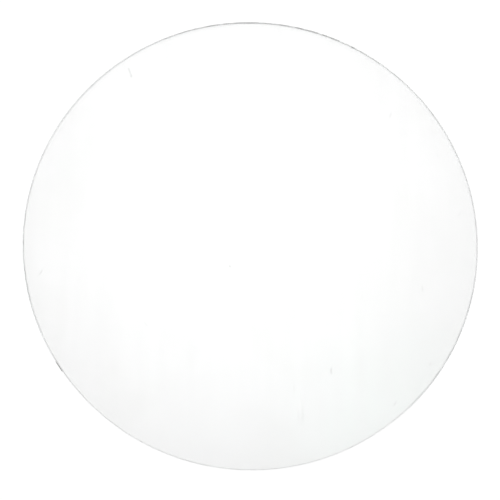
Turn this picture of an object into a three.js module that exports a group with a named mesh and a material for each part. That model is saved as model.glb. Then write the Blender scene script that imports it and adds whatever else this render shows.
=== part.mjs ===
// A clear acrylic circle template: a plain round disc whose rim is drawn round.
// It is shown as supplied, with a thin clear masking film on each face.
// Frame: millimetres, +Z up, origin at the centre of the underside, on the surface that it lies on.
import * as THREE from "three";

// Driving dimensions.
const DISC_DIAMETER = 200;
const DISC_THICKNESS = 3;
const EDGE_BREAK = 0.25; // the 45 degree chamfer round both edges of the disc
const FILM_THICKNESS = 0.08;
const ADHESIVE_THICKNESS = 0.02; // the low-tack layer between a film and the disc, left as a gap
const FILM_SETBACK = 0.4; // how far each film stops short of the disc's rim
const FLAT_WIDTH = 5; // the stub of the cutting tab, dressed to a flat on the rim
const FLAT_DIRECTION = THREE.MathUtils.degToRad(214); // where that flat is, from +X towards +Y
const ARC_DIVISIONS = 180; // a three.js arc gets two points for each of these

const discRadius = DISC_DIAMETER / 2;
const flatDistance = Math.sqrt(discRadius ** 2 - (FLAT_WIDTH / 2) ** 2);
const discBase = FILM_THICKNESS + ADHESIVE_THICKNESS;
const upperFilmBase = discBase + DISC_THICKNESS + ADHESIVE_THICKNESS;

const acrylic = new THREE.MeshStandardMaterial({
  color: 0xf2f8f5,
  roughness: 0.05,
  metalness: 0,
  transparent: true,
  opacity: 0.3,
});
const maskingFilm = new THREE.MeshStandardMaterial({
  color: 0xfafcfb,
  roughness: 0.3,
  metalness: 0,
  transparent: true,
  opacity: 0.15,
});

// The template's outline, set in from the rim by an inset: a circle with one short flat.
function outline(inset) {
  const radius = discRadius - inset;
  const halfAngle = Math.acos((flatDistance - inset) / radius);
  const arcStart = FLAT_DIRECTION + halfAngle;
  const arcEnd = FLAT_DIRECTION - halfAngle + 2 * Math.PI;
  return new THREE.Shape().absarc(0, 0, radius, arcStart, arcEnd).closePath();
}

// A plate of that outline that stands on z = 0, with a chamfer of the given size round its two edges.
function plate(inset, thickness, chamfer) {
  const geometry = new THREE.ExtrudeGeometry(outline(inset), {
    depth: thickness - 2 * chamfer,
    curveSegments: ARC_DIVISIONS,
    bevelEnabled: chamfer > 0,
    bevelThickness: chamfer,
    bevelSize: chamfer,
    bevelOffset: -chamfer,
    bevelSegments: 1,
  });
  return geometry.translate(0, 0, chamfer);
}

function piece(name, geometry, material, height) {
  const mesh = new THREE.Mesh(geometry, material);
  mesh.name = name;
  mesh.position.z = height;
  return mesh;
}

const template = new THREE.Group();
template.add(
  piece("lower_film", plate(FILM_SETBACK, FILM_THICKNESS, 0), maskingFilm, 0),
  piece("template_disc", plate(0, DISC_THICKNESS, EDGE_BREAK), acrylic, discBase),
  piece("upper_film", plate(FILM_SETBACK, FILM_THICKNESS, 0), maskingFilm, upperFilmBase),
);

export default template;
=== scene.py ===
"""A clear acrylic circle template with its masking films, lying on a pale studio floor.

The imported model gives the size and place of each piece. Lengths are in metres, +Z is up, and the camera
sees +Y as up.
"""

import math
from collections import namedtuple

import bpy
import numpy as np
from mathutils import Matrix, Vector, noise
from mathutils.geometry import delaunay_2d_cdt


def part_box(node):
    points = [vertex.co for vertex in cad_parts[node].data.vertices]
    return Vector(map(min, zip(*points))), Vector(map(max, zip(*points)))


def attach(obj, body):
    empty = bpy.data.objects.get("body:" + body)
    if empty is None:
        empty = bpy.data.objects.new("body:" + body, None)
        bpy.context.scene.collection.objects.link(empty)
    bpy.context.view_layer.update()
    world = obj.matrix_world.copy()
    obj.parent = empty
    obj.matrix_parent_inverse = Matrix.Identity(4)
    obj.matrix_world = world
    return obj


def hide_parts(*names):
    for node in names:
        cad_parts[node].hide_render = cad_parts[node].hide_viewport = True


MM = 0.001

# The disc, beyond what the frame's boxes say.
FLAT_WIDTH = 5 * MM  # the filed stub of the cutting tab
FLAT_DIRECTION = math.radians(214)
ARRIS_RADIUS = 0.14 * MM  # the scraped edges
STUB_BEVEL = 0.4 * MM  # how much wider the scraped edges are along the flat
FLAT_END = 1.15  # where the widening has died out, in half widths of the flat from its middle
FLAT_FADE = 0.3  # and over how much of that distance it dies out
CUTTER_MARKS = 360  # scallops that the cutter left round the rim
CUTTER_MARK_DEPTH = 0.012 * MM
WALL_SHADE_DIRECTION = math.radians(85)  # where the wall is most frosted and its colour is painted darkest, as painted shade on the far side of the rim
WALL_SHADE_CORE = math.radians(6)  # how far to each side of that the wall is fully frosted and painted darkest
WALL_SHADE_EDGE = math.radians(34)  # and how far the frosting and its painted shade reach

# The films.
FILM_EDGE_WIDTH = 0.3 * MM  # how far in from the cut edge the film is greyed with painted shade
Mark = namedtuple("Mark", "x y length width height direction cloud")

# Creases and blisters of the upper film: the centre, length, width and height in mm, the direction in
# degrees, and how cloudy the stretched film is there, from 0 to 1, which also sets how far painted shade
# darkens it.
FILM_MARKS = [
    Mark(20.9, -75.8, 9.5, 2.8, 0.12, 90, 0.1),
    Mark(18.1, -64.5, 7.0, 0.9, 0.05, 90, 0.08),
    Mark(34.2, -57.5, 4.0, 0.9, 0.10, 90, 0.38),
    Mark(-54.7, 76.0, 5.5, 1.0, 0.10, 110, 0.42),
    Mark(-54.0, 74.0, 2.6, 1.4, 0.08, 110, 0.42),
    Mark(74.5, -21.5, 4.0, 1.3, 0.09, 100, 0.13),
    Mark(82.8, 38.6, 4.0, 0.9, 0.05, 90, 0.13),
    Mark(91.9, 11.8, 2.8, 0.9, 0.08, 50, 0.3),
    Mark(-91.5, -15.1, 3.4, 0.9, 0.08, 60, 0.35),
    Mark(62.1, 56.9, 4.0, 1.6, 0.05, 70, 0.18),
    Mark(-45.8, -37.2, 4.5, 0.9, 0.05, 125, 0.15),
    Mark(61.6, -71.3, 3.0, 0.9, 0.06, 65, 0.4),
    Mark(-9.6, -12.0, 1.3, 1.3, 0.06, 0, 0.48),
    Mark(77.2, -54.5, 1.4, 1.4, 0.06, 0, 0.5),
]
BLISTER_WIDTH = 2  # a mark at least this wide, in mm, is a blister, cloudy and painted darker only along its sides
BLISTER_SIDE = 0.8  # where that cloud and its painted shade are densest, as a share of the way from the middle to the side
BLISTER_SIDE_SPREAD = 0.2

# The gentle waves of each surface: how high they rise, how far apart they are, and their noise's seed.
DISC_TOP_WAVES = (0.004 * MM, 30 * MM, 1.5)
DISC_UNDERSIDE_WAVES = (0.004 * MM, 30 * MM, 7.5)
DISC_WAVE_MARGIN = 5 * MM  # the disc's waves die out over this much of its face, next to the rim
UPPER_FILM_WAVES = (0.08 * MM, 18 * MM, 3.5)
LOWER_FILM_WAVES = (0.01 * MM, 20 * MM, 9.5)  # lower than the gap between that film and the disc

# How finely the meshes are made.
RIM_SEGMENTS = 1440
ARRIS_STEPS = 4
WALL_STEPS = 6
DISC_SPACING = 4 * MM
FILM_SPACING = 2.5 * MM
FIRST_STEP = 0.05 * MM  # from the rim to the first ring of points inside it; later steps are doubled
FULL_RING_STEP = 0.3 * MM  # once the step is longer than this, each ring has half the points of the last
FEWEST_IN_RING = 180
MARK_STEPS = 9  # rows of points across a mark
MARK_MARGIN = 1.15  # how far those points reach, in lengths and widths of the mark
GRID_CLEARANCE = 0.7  # from the innermost ring to the grid inside it, in spacings of the grid
MERGE_DISTANCE = 1e-7  # points nearer to each other than this, in mm, are one
SHARP_ANGLE = math.radians(40)

# Which of the disc's finishes a polygon has, by how far its normal leans up or down.
FACE_LEAN = 0.9  # above this it is part of a face
WALL_LEAN = 0.15  # below this it is part of the wall, and between the two of an arris

# Finishes.
ACRYLIC_IOR = 1.49
FILM_IOR = 1.5
WHITE = (1, 1, 1, 1)
ACRYLIC_TINT = (0.5, 0.9, 0.75, 1)  # a metre's absorption of each colour is the density times 1 less this
TINT_DENSITY = 1.0
CUT_COLOUR = (0.97, 0.98, 0.975, 1)
# painted shade: the near-black colour of the frosted wall, which darkens the rim wherever it is frosted
SHADED_FROST_COLOUR = (0.1, 0.105, 0.1, 1)
MOST_FROST_AND_SHADE = 0.95  # at the middle of the darkest part, before the dashes vary it
WALL_ROUGHNESS = (0.09, 0.5)  # where it is clear and where it is fully frosted
FILED_COLOUR = (0.25, 0.25, 0.24, 1)
LIFTED_FILM_COLOUR = (0.994, 0.994, 0.993, 1)  # where the film doesn't wet the disc
# painted shade: creased film is greyed towards this colour, to darken its creases
CREASE_SHADE_COLOUR = (0.8, 0.8, 0.8, 1)
CREASE_ROUGHNESS = 0.3  # how much rougher the cloudiest crease is than the film round it
# painted shade: the cut edge of the film is greyed between these, to darken the line along the rim
FILM_EDGE_SHADE_COLOURS = ((0.75, 0.75, 0.75, 1), (0.97, 0.97, 0.97, 1))
FLOOR_COLOUR = (0.05, 0.05, 0.05, 1)
FLOOR_GLOW = 1.015
FLOOR_ROUGHNESS = 0.9

# The studio's soft lights: the direction round from +X and down from overhead, then the angles from that
# direction to which the light is full and at which it ends, all in degrees, then strength and colour.
Light = namedtuple("Light", "around down core edge strength colour")
DOME_COLOUR = (0.095, 0.105, 0.10)
SOFT_LIGHTS = [
    Light(84, 12.8, 2, 15.8, 0.98, (1, 1, 1)),  # overhead, mirrored by the middle and far part of the disc
    Light(7, 8.6, 1, 6, 0.13, (0.1, 1, 0.5)),  # a faint green reflection on the near right
    Light(0, 180, 125, 162, 0.7, (1, 1, 1)),  # from below: a ring that reaches well above the horizon
    Light(0, 180, 90, 115, 0.6, (1, 1, 1)),  # and one that brightens the lowest part of that ring
]

# The floor.
FLOOR_REACH = 10.0
FLOOR_GAP = 0.05 * MM

# The camera: the lens in mm, the lean from straight above and the side that it leans to, then the point
# that it looks at and its distance from that, in radii of the disc.
CAMERA_LENS = 85
CAMERA_LEAN = math.radians(9.86)
CAMERA_SIDE = math.radians(-101.22)
CAMERA_AIM = (-0.008, -0.0477)
CAMERA_DISTANCE = 5.171
CAMERA_CLIP = 0.01


# ---------------------------------------------------------------- meshes


def smooth_step(share):
    """0 below 0, 1 above 1, and a smooth rise between."""
    share = np.clip(share, 0, 1)
    return share * share * (3 - 2 * share)


def outline_radius(angle, radius, inset):
    """Distance from the centre to the outline, set in by inset: a circle with one short flat."""
    flat_distance = math.sqrt(radius**2 - (FLAT_WIDTH / 2) ** 2)
    turn = np.cos(angle - FLAT_DIRECTION)
    across_flat = (flat_distance - inset) / np.maximum(turn, 0.1)
    return np.where(turn > 0.1, np.minimum(radius - inset, across_flat), radius - inset)


def around(count):
    """Angles of points spaced evenly round the rim."""
    return np.arange(count) * 2 * math.pi / count


def along_flat(angle, radius):
    """1 along the flat, falling smoothly to 0 at its ends."""
    offset = np.abs(np.sin(angle - FLAT_DIRECTION)) * radius / (FLAT_WIDTH / 2)
    return np.where(np.cos(angle - FLAT_DIRECTION) > 0, smooth_step((FLAT_END - offset) / FLAT_FADE), 0)


def ring(radius, inset, count, ripple=0.0):
    """Points of the outline, set in by inset and by the cutter marks, ripple deep."""
    angle = around(count)
    cut = ripple * (0.5 - 0.5 * np.cos(angle * CUTTER_MARKS))
    r = outline_radius(angle, radius, inset) - cut
    return np.column_stack((r * np.cos(angle), r * np.sin(angle)))


def honeycomb(radius, spacing):
    """Points of a triangular grid inside a circle."""
    row_height = spacing * math.sqrt(3) / 2
    rows = int(radius / row_height) + 1
    columns = int(radius / spacing) + 1
    points = [
        ((column + row % 2 / 2) * spacing, row * spacing * math.sqrt(3) / 2)
        for row in range(-rows, rows + 1)
        for column in range(-columns, columns + 1)
    ]
    return np.array([p for p in points if math.hypot(*p) < radius])


def face_points(radius, inset, spacing, flat_inset=0.0):
    """Points inside the outline: rings that coarsen inwards, the first few further in along the flat by
    flat_inset, then a grid."""
    layers = []
    depth, step, count = inset, FIRST_STEP, RIM_SEGMENTS
    while step < spacing:
        depth += step
        extra = flat_inset * along_flat(around(count), radius) * max(1 - (depth - inset) / MM, 0)
        layers.append(ring(radius, depth + extra, count))
        step *= 2
        count = max(count // 2, FEWEST_IN_RING) if step > FULL_RING_STEP else count
    layers.append(honeycomb(radius - depth - spacing * GRID_CLEARANCE, spacing))
    return np.concatenate(layers)


def mark_frame(points, mark):
    """The points in a mark's own frame: along it and across it, 1 at its ends and sides."""
    turn = math.radians(mark.direction)
    dx = points[:, 0] - mark.x * MM
    dy = points[:, 1] - mark.y * MM
    along = (dx * math.cos(turn) + dy * math.sin(turn)) / (mark.length * MM / 2)
    across = (dy * math.cos(turn) - dx * math.sin(turn)) / (mark.width * MM / 2)
    return along, across


def mark_points(mark):
    """A fine grid of points over a mark."""
    turn = math.radians(mark.direction)
    rows = max(int(mark.length / mark.width * MARK_STEPS), MARK_STEPS)
    points = []
    for i in range(rows):
        for j in range(MARK_STEPS):
            u = (i / (rows - 1) - 0.5) * mark.length * MARK_MARGIN
            v = (j / (MARK_STEPS - 1) - 0.5) * mark.width * MARK_MARGIN
            points.append((
                (mark.x + u * math.cos(turn) - v * math.sin(turn)) * MM,
                (mark.y + u * math.sin(turn) + v * math.cos(turn)) * MM,
            ))
    return np.array(points)


def triangulate(outline, inner):
    """Triangles over an outline and the points inside it, as numbers of those points in that order."""
    count = len(outline)
    points = np.concatenate((outline, inner)) / MM
    edges = [(i, (i + 1) % count) for i in range(count)]
    made = delaunay_2d_cdt([Vector(p) for p in points], edges, [], 1, MERGE_DISTANCE)
    source = [origins[0] for origins in made[3]]
    return [[source[i] for i in face] for face in made[2]]


def waves(points, depth, size, seed):
    """Smooth rises over points, from 0 to depth and about size apart."""
    out = [noise.noise(Vector((x / size, y / size, seed))) for x, y in points]
    return depth * (0.5 + 0.5 * np.clip(np.array(out), -1, 1))


def plate(name, faces, outline_count, xy, top, bottom, middle):
    """A closed plate: top and bottom over the same points, joined by rings round the rim."""
    n = len(xy)
    vertices = [np.column_stack((xy, top)), np.column_stack((xy, bottom))]
    vertices += [np.column_stack((points, z)) for points, z in middle]
    starts = [0] + [2 * n + k * outline_count for k in range(len(middle))] + [n]
    polygons = [tuple(f) for f in faces]
    polygons += [tuple(n + i for i in reversed(f)) for f in faces]
    for upper, lower in zip(starts, starts[1:]):
        for i in range(outline_count):
            j = (i + 1) % outline_count
            polygons.append((upper + i, lower + i, lower + j, upper + j))
    mesh = bpy.data.meshes.new(name)
    mesh.from_pydata(np.concatenate(vertices).tolist(), [], polygons)
    mesh.validate()
    mesh.shade_smooth()
    mesh.set_sharp_from_angle(angle=SHARP_ANGLE)
    obj = bpy.data.objects.new(name, mesh)
    bpy.context.scene.collection.objects.link(obj)
    return obj


# ---------------------------------------------------------------- shader nodes


def feed(tree, socket, value):
    """Give an input a fixed value, or link another node's output to it."""
    if isinstance(value, bpy.types.NodeSocket):
        tree.links.new(value, socket)
    else:
        socket.default_value = value


def map_range(tree, value, source, target, smooth=False):
    """A value mapped from its source range to a target range, in a straight line or smoothly."""
    node = tree.nodes.new("ShaderNodeMapRange")
    node.interpolation_type = "SMOOTHSTEP" if smooth else "LINEAR"
    node.inputs["From Min"].default_value = source[0]
    node.inputs["From Max"].default_value = source[1]
    node.inputs["To Min"].default_value = target[0]
    node.inputs["To Max"].default_value = target[1]
    feed(tree, node.inputs["Value"], value)
    return node.outputs["Result"]


def multiply_add(tree, value, factor, addend, clamp=False):
    """value * factor + addend, kept from 0 to 1 if clamp is set."""
    node = tree.nodes.new("ShaderNodeMath")
    node.operation = "MULTIPLY_ADD"
    node.use_clamp = clamp
    for socket, part in zip(node.inputs, (value, factor, addend)):
        feed(tree, socket, part)
    return node.outputs[0]


def dot(tree, vector, direction):
    """How far a vector reaches along a fixed direction."""
    node = tree.nodes.new("ShaderNodeVectorMath")
    node.operation = "DOT_PRODUCT"
    feed(tree, node.inputs[0], vector)
    feed(tree, node.inputs[1], direction)
    return node.outputs["Value"]


def mix_colours(tree, factor, low, high):
    """The colour that is factor of the way from low to high."""
    node = tree.nodes.new("ShaderNodeMix")
    node.data_type = "RGBA"
    node.clamp_factor = True
    feed(tree, node.inputs["Factor"], factor)
    feed(tree, node.inputs["A"], low)
    feed(tree, node.inputs["B"], high)
    return node.outputs["Result"]


def noise_map(tree, scale, low, high, stretch=(1, 1, 1), detail=3.0):
    """Noise in the part's own frame, about scale lumps to a metre, mapped to a range of values."""
    where = tree.nodes.new("ShaderNodeTexCoord")
    turn = tree.nodes.new("ShaderNodeMapping")
    turn.inputs["Scale"].default_value = stretch
    texture = tree.nodes.new("ShaderNodeTexNoise")
    texture.inputs["Scale"].default_value = scale
    texture.inputs["Detail"].default_value = detail
    tree.links.new(where.outputs["Object"], turn.inputs["Vector"])
    tree.links.new(turn.outputs["Vector"], texture.inputs["Vector"])
    return map_range(tree, texture.outputs["Fac"], (0.3, 0.7), (low, high))


def new_material(name, transmission, ior):
    """A material with a Principled shader, its node tree and the shader's inputs."""
    material = bpy.data.materials.new(name)
    material.use_nodes = True
    inputs = material.node_tree.nodes["Principled BSDF"].inputs
    inputs["Transmission Weight"].default_value = transmission
    inputs["IOR"].default_value = ior
    return material, material.node_tree, inputs


# ---------------------------------------------------------------- materials


def new_acrylic(name, transmission):
    """An acrylic material, with the faint green that clear acrylic shows only through its width."""
    material, tree, inputs = new_material(name, transmission, ACRYLIC_IOR)
    volume = tree.nodes.new("ShaderNodeVolumeAbsorption")
    volume.inputs["Color"].default_value = ACRYLIC_TINT
    volume.inputs["Density"].default_value = TINT_DENSITY
    tree.links.new(volume.outputs[0], tree.nodes["Material Output"].inputs["Volume"])
    return material, tree, inputs


def acrylic_face_material():
    """The moulded faces of the sheet: clear and polished."""
    material, tree, inputs = new_acrylic("clear_acrylic_face", transmission=1)
    feed(tree, inputs["Base Color"], WHITE)
    feed(tree, inputs["Roughness"], noise_map(tree, scale=40, low=0.01, high=0.03))
    return material


def acrylic_rim_material():
    """The machined wall of the disc: frosted in patches and, on the far side, in short dashes. The frosting
    also darkens its colour, a painted shade that makes the far side of the rim darkest.
    """
    material, tree, inputs = new_acrylic("clear_acrylic_rim", transmission=0.92)
    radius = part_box("template_disc")[1].x
    where = tree.nodes.new("ShaderNodeTexCoord")
    toward = (math.cos(WALL_SHADE_DIRECTION), math.sin(WALL_SHADE_DIRECTION), 0)
    shade_reach = (radius * math.cos(WALL_SHADE_EDGE), radius * math.cos(WALL_SHADE_CORE))
    near = map_range(tree, dot(tree, where.outputs["Object"], toward), shade_reach, (0, MOST_FROST_AND_SHADE), smooth=True)
    dashes = noise_map(tree, scale=400, low=-0.6, high=2.8)
    patches = noise_map(tree, scale=260, low=-0.1, high=0.14)
    frost_and_shade = multiply_add(tree, near, dashes, patches, clamp=True)
    # painted shade: the frosted parts of the wall are coloured near black, darkest on the far side
    feed(tree, inputs["Base Color"], mix_colours(tree, frost_and_shade, CUT_COLOUR, SHADED_FROST_COLOUR))
    feed(tree, inputs["Roughness"], map_range(tree, frost_and_shade, (0, 1), WALL_ROUGHNESS))
    return material


def arris_material():
    """The scraped edges: frosted all round, unevenly, by the scraper's fine chatter."""
    material, tree, inputs = new_acrylic("scraped_arris", transmission=0.8)
    feed(tree, inputs["Base Color"], CUT_COLOUR)
    feed(tree, inputs["Roughness"], noise_map(tree, scale=300, low=0.32, high=0.5))
    return material


def stub_material():
    """The filed stub of the cutting tab: rough and dull, and dark grey."""
    material, tree, inputs = new_acrylic("filed_stub", transmission=0.3)
    feed(tree, inputs["Base Color"], FILED_COLOUR)
    feed(tree, inputs["Roughness"], noise_map(tree, scale=900, low=0.5, high=0.8))
    return material


def film_material():
    """Low-tack polyethylene masking film: satin, faintly streaked by its die and cloudy in its creases, where
    painted shade also darkens its colour.
    """
    material, tree, inputs = new_material("masking_film", transmission=1, ior=FILM_IOR)
    crease = tree.nodes.new("ShaderNodeAttribute")
    crease.attribute_name = "crease"
    lifting = noise_map(tree, scale=22, low=-2.5, high=3.5, detail=5)
    smooth_film = mix_colours(tree, lifting, WHITE, LIFTED_FILM_COLOUR)
    # painted shade: the creases are greyed, to darken them
    tone_and_crease_shade = mix_colours(tree, crease.outputs["Fac"], smooth_film, CREASE_SHADE_COLOUR)
    feed(tree, inputs["Base Color"], tone_and_crease_shade)
    streaks = noise_map(tree, scale=30, low=0.08, high=0.16, stretch=(6, 0.5, 1))
    haze = multiply_add(tree, crease.outputs["Fac"], CREASE_ROUGHNESS, streaks)
    feed(tree, inputs["Roughness"], haze)
    return material


def film_edge_material():
    """The cut edge of the masking film, rough where the cutter stretched it, and greyed unevenly as painted
    shade for the dark line along the rim.
    """
    material, tree, inputs = new_material("masking_film_edge", transmission=0.85, ior=FILM_IOR)
    edge_shade = noise_map(tree, scale=220, low=0, high=1)
    # painted shade: uneven grey along the cut edge
    feed(tree, inputs["Base Color"], mix_colours(tree, edge_shade, *FILM_EDGE_SHADE_COLOURS))
    feed(tree, inputs["Roughness"], noise_map(tree, scale=500, low=0.3, high=0.5))
    return material


# ---------------------------------------------------------------- pieces


def arris(radius, face_z, drop_sign, extra):
    """Rings of a rounded arris, from the face to the wall, wider where extra says."""
    rings = []
    size = ARRIS_RADIUS + extra
    for k in range(1, ARRIS_STEPS + 1):
        turn = math.pi / 2 * k / ARRIS_STEPS
        ripple = CUTTER_MARK_DEPTH if k == ARRIS_STEPS else 0
        points = ring(radius, size * (1 - math.sin(turn)), RIM_SEGMENTS, ripple)
        rings.append((points, face_z - drop_sign * size * (1 - math.cos(turn))))
    return rings


def disc_finish(polygon, radius):
    """Which of the disc's materials a polygon has: 0 face, 1 wall, 2 arris, 3 filed stub."""
    turn = math.atan2(polygon.center.y, polygon.center.x)
    if abs(polygon.normal.z) > FACE_LEAN:
        return 0
    if along_flat(np.array(turn), radius) > 0.5:
        return 3
    return 1 if abs(polygon.normal.z) < WALL_LEAN else 2


def build_disc():
    """The acrylic disc, with rounded arrises, cutter marks on its wall and faintly wavy faces."""
    low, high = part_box("template_disc")
    radius = high.x
    stub = STUB_BEVEL * along_flat(around(RIM_SEGMENTS), radius)
    outline = ring(radius, ARRIS_RADIUS + stub, RIM_SEGMENTS)
    inner = face_points(radius, ARRIS_RADIUS, DISC_SPACING, STUB_BEVEL)
    xy = np.concatenate((outline, inner))
    faces = triangulate(outline, inner)
    depth = np.clip((radius - ARRIS_RADIUS - np.hypot(*xy.T)) / DISC_WAVE_MARGIN, 0, 1)
    top = high.z - depth * waves(xy, *DISC_TOP_WAVES)
    bottom = low.z + depth * waves(xy, *DISC_UNDERSIDE_WAVES)
    upper = arris(radius, high.z, 1, stub)
    lower = arris(radius, low.z, -1, stub)
    walls = []
    for k in range(1, WALL_STEPS):
        z = upper[-1][1] + (lower[-1][1] - upper[-1][1]) * k / WALL_STEPS
        walls.append((ring(radius, 0, RIM_SEGMENTS, CUTTER_MARK_DEPTH), z))
    middle = upper + walls + lower[::-1]
    disc = plate("clear_disc", faces, RIM_SEGMENTS, xy, top, bottom, middle)
    for material in (acrylic_face_material(), acrylic_rim_material(), arris_material(), stub_material()):
        disc.data.materials.append(material)
    for polygon in disc.data.polygons:
        polygon.material_index = disc_finish(polygon, radius)
    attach(disc, "disc")
    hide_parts("template_disc")


def film_relief(points, marks):
    """How far the marks lift the film over points, and how cloudy they make it, which also sets how much
    painted shade darkens it there.
    """
    lift = np.zeros(len(points))
    cloud = np.zeros(len(points))
    for mark in marks:
        along, across = mark_frame(points, mark)
        inside = np.clip(1 - along**2 - across**2, 0, 1)
        lift += mark.height * MM * inside**2
        if mark.width >= BLISTER_WIDTH:
            from_side = (np.abs(across) - BLISTER_SIDE) / BLISTER_SIDE_SPREAD
            inside = np.clip(1 - along**4, 0, 1) * np.exp(-(from_side**2))
        cloud = np.maximum(cloud, mark.cloud * inside)
    return lift, cloud


def build_film(name, node, body, shape, marks, materials):
    """A masking film with its waves and creases. materials are those of its face and of its cut edge."""
    low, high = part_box(node)
    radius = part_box("template_disc")[1].x
    inset = radius - high.x
    outline = ring(radius, inset, RIM_SEGMENTS)
    inner = [face_points(radius, inset, FILM_SPACING)]
    inner += [mark_points(mark) for mark in marks]
    xy = np.concatenate([outline, *inner])
    faces = triangulate(outline, xy[RIM_SEGMENTS:])
    lift, cloud = film_relief(xy, marks)
    lift += waves(xy, *shape)
    film = plate(name, faces, RIM_SEGMENTS, xy, high.z + lift, low.z + lift, [])
    for material in materials:
        film.data.materials.append(material)
    centres = np.zeros(3 * len(film.data.polygons))
    film.data.polygons.foreach_get("center", centres)
    x, y, _z = centres.reshape(-1, 3).T
    from_edge = outline_radius(np.arctan2(y, x), radius, inset) - np.hypot(x, y)
    cut_edge = (from_edge < FILM_EDGE_WIDTH).astype(np.int32)
    film.data.polygons.foreach_set("material_index", cut_edge)
    # crease: how cloudy each point of the film is, which also sets its painted shade
    attribute = film.data.attributes.new("crease", "FLOAT", "POINT")
    attribute.data.foreach_set("value", np.concatenate((cloud, cloud)).astype(np.float32))
    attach(film, body)
    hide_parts(node)


# ---------------------------------------------------------------- stage


def build_floor():
    """A plain pale floor just under the template, as wide as any view needs, that gives its own light."""
    corners = [(-1, -1), (1, -1), (1, 1), (-1, 1)]
    mesh = bpy.data.meshes.new("floor")
    mesh.from_pydata([(x * FLOOR_REACH, y * FLOOR_REACH, -FLOOR_GAP) for x, y in corners], [], [(0, 1, 2, 3)])
    floor = bpy.data.objects.new("floor", mesh)
    bpy.context.scene.collection.objects.link(floor)
    material = bpy.data.materials.new("pale_floor")
    material.use_nodes = True
    inputs = material.node_tree.nodes["Principled BSDF"].inputs
    inputs["Base Color"].default_value = FLOOR_COLOUR
    inputs["Emission Color"].default_value = WHITE
    inputs["Emission Strength"].default_value = FLOOR_GLOW
    inputs["Roughness"].default_value = FLOOR_ROUGHNESS
    inputs["Specular IOR Level"].default_value = 0
    mesh.materials.append(material)


def soft_light(tree, where, light):
    """How strongly a soft light shines from where on the dome."""
    turn = math.radians(light.around)
    tilt = math.radians(light.down)
    side = math.sin(tilt)
    direction = (side * math.cos(turn), side * math.sin(turn), math.cos(tilt))
    fall_off = (math.cos(math.radians(light.edge)), math.cos(math.radians(light.core)))
    return map_range(tree, dot(tree, where, direction), fall_off, (0, light.strength), smooth=True)


def build_world():
    """Soft studio light: a dim dome with a soft light overhead and a bright ring round the horizon."""
    world = bpy.data.worlds.new("studio")
    bpy.context.scene.world = world
    world.use_nodes = True
    tree = world.node_tree
    where = tree.nodes.new("ShaderNodeTexCoord").outputs["Generated"]
    total = DOME_COLOUR
    for light in SOFT_LIGHTS:
        add = tree.nodes.new("ShaderNodeVectorMath")
        add.operation = "MULTIPLY_ADD"
        feed(tree, add.inputs[0], soft_light(tree, where, light))
        feed(tree, add.inputs[1], light.colour)
        feed(tree, add.inputs[2], total)
        total = add.outputs["Vector"]
    tree.links.new(total, tree.nodes["Background"].inputs["Color"])


def build_camera():
    """A long lens almost straight above, leaning towards the near left, with +Y up in the picture."""
    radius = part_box("template_disc")[1].x
    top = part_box("upper_film")[1].z
    aim = Vector((CAMERA_AIM[0] * radius, CAMERA_AIM[1] * radius, top))
    lean = math.sin(CAMERA_LEAN)
    back = Vector((lean * math.cos(CAMERA_SIDE), lean * math.sin(CAMERA_SIDE), math.cos(CAMERA_LEAN)))
    up = Vector((0, 1, 0))
    up = (up - back * up.dot(back)).normalized()
    right = up.cross(back)
    data = bpy.data.cameras.new("camera")
    data.lens = CAMERA_LENS
    data.clip_start = CAMERA_CLIP
    camera = bpy.data.objects.new("camera", data)
    bpy.context.scene.collection.objects.link(camera)
    turn = Matrix((right, up, back)).transposed().to_4x4()
    camera.matrix_world = Matrix.Translation(aim + back * CAMERA_DISTANCE * radius) @ turn
    bpy.context.scene.camera = camera


def set_render():
    """Plain colours, and enough bounces for light that crosses every face twice."""
    scene = bpy.context.scene
    scene.view_settings.view_transform = "Standard"
    scene.view_settings.look = "None"
    scene.cycles.max_bounces = 32
    scene.cycles.transmission_bounces = 32
    scene.cycles.glossy_bounces = 8
    scene.cycles.diffuse_bounces = 6
    scene.cycles.blur_glossy = 0  # with blurred gloss, the clear faces would darken what lies under them


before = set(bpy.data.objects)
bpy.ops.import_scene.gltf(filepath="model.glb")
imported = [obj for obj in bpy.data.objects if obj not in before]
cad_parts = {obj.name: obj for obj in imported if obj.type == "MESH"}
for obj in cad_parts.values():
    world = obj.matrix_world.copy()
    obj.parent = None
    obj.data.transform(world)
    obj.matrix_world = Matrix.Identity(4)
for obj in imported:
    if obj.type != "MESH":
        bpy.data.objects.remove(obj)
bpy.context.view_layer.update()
build_camera()
film, film_edge = film_material(), film_edge_material()
build_disc()
build_film("upper_masking_film", "upper_film", "upper_film", UPPER_FILM_WAVES, FILM_MARKS, (film, film_edge))
build_film("lower_masking_film", "lower_film", "lower_film", LOWER_FILM_WAVES, [], (film, film))
build_floor()
build_world()
set_render()
